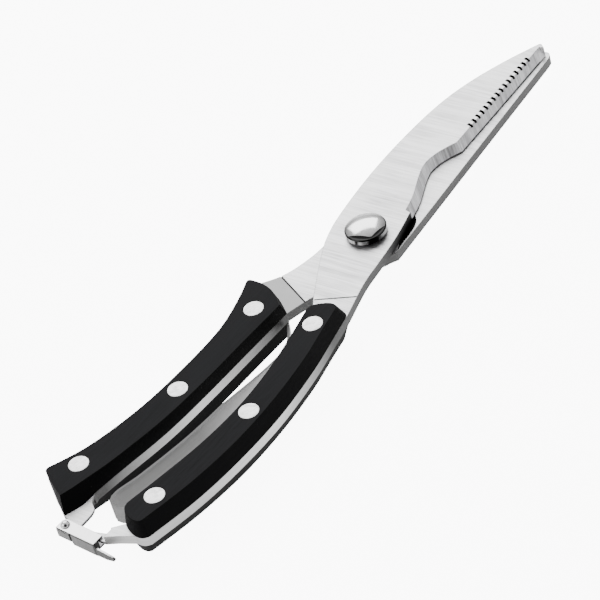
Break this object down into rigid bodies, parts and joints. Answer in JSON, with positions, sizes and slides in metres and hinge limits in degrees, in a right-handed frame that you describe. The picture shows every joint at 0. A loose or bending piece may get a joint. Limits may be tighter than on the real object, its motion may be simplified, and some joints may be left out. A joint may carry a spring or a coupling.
{
  "type": "poultry shears",
  "caption": "Curved poultry shears with a notched, serrated front blade, riveted slab handles, a leaf spring between the handles and a swinging latch at their ends.",
  "frame": {"origin": "on the pivot axis, level with the surface that the closed shears lie on", "axes": "+X along the shears from the pivot to the blade tips, +Z along the pivot axis towards the bolt's head, +Y towards the handle whose blade lies underneath"},
  "size_m": [0.2541, 0.0546, 0.0174],
  "materials": {
    "blade_steel": "fine cross-ground satin",
    "handle_black": "matte with a faint lengthwise grain",
    "rivet_steel": "ground flush with the handles",
    "polished_steel": "polished",
    "spring_steel": "smooth rolled strip",
    "latch_steel": "pressed sheet, lightly polished"
  },
  "bodies": {
    "back_half": {"back_blade": "blade_steel", "left_scale_front": "handle_black", "left_scale_back": "handle_black", "left_rivet_tube_pivot_end": "rivet_steel", "left_rivet_pin_pivot_end": "rivet_steel", "left_rivet_tube_middle": "rivet_steel", "left_rivet_pin_middle": "rivet_steel", "left_rivet_tube_butt_end": "rivet_steel", "left_rivet_pin_butt_end": "rivet_steel", "pivot_bolt": "polished_steel", "pivot_washer": "polished_steel", "pivot_nut": "polished_steel", "latch_pin": "polished_steel", "latch_spacer": "polished_steel"},
    "front_half": {"front_blade": "blade_steel", "right_scale_front": "handle_black", "right_scale_back": "handle_black", "right_rivet_tube_pivot_end": "rivet_steel", "right_rivet_pin_pivot_end": "rivet_steel", "right_rivet_tube_middle": "rivet_steel", "right_rivet_pin_middle": "rivet_steel", "right_rivet_tube_butt_end": "rivet_steel", "right_rivet_pin_butt_end": "rivet_steel", "leaf_spring": "spring_steel", "spring_screw": "polished_steel"},
    "latch": {"latch": "latch_steel"}
  },
  "joints": [
    {"name": "pivot", "type": "hinge", "parent": "back_half", "child": "front_half", "pos_m": [0, 0, 0.0087], "axis": [0, 0, 1], "range_deg": [0, 36], "deforming": ["leaf_spring"]},
    {"name": "latch_hinge", "type": "hinge", "parent": "back_half", "child": "latch", "pos_m": [-0.1474, 0.005, 0.0087], "axis": [0, 0, -1], "range_deg": [0, 90]}
  ],
  "couplings": [
    {"joint": "latch_hinge", "follows": "pivot", "ratio": 2.5}
  ]
}
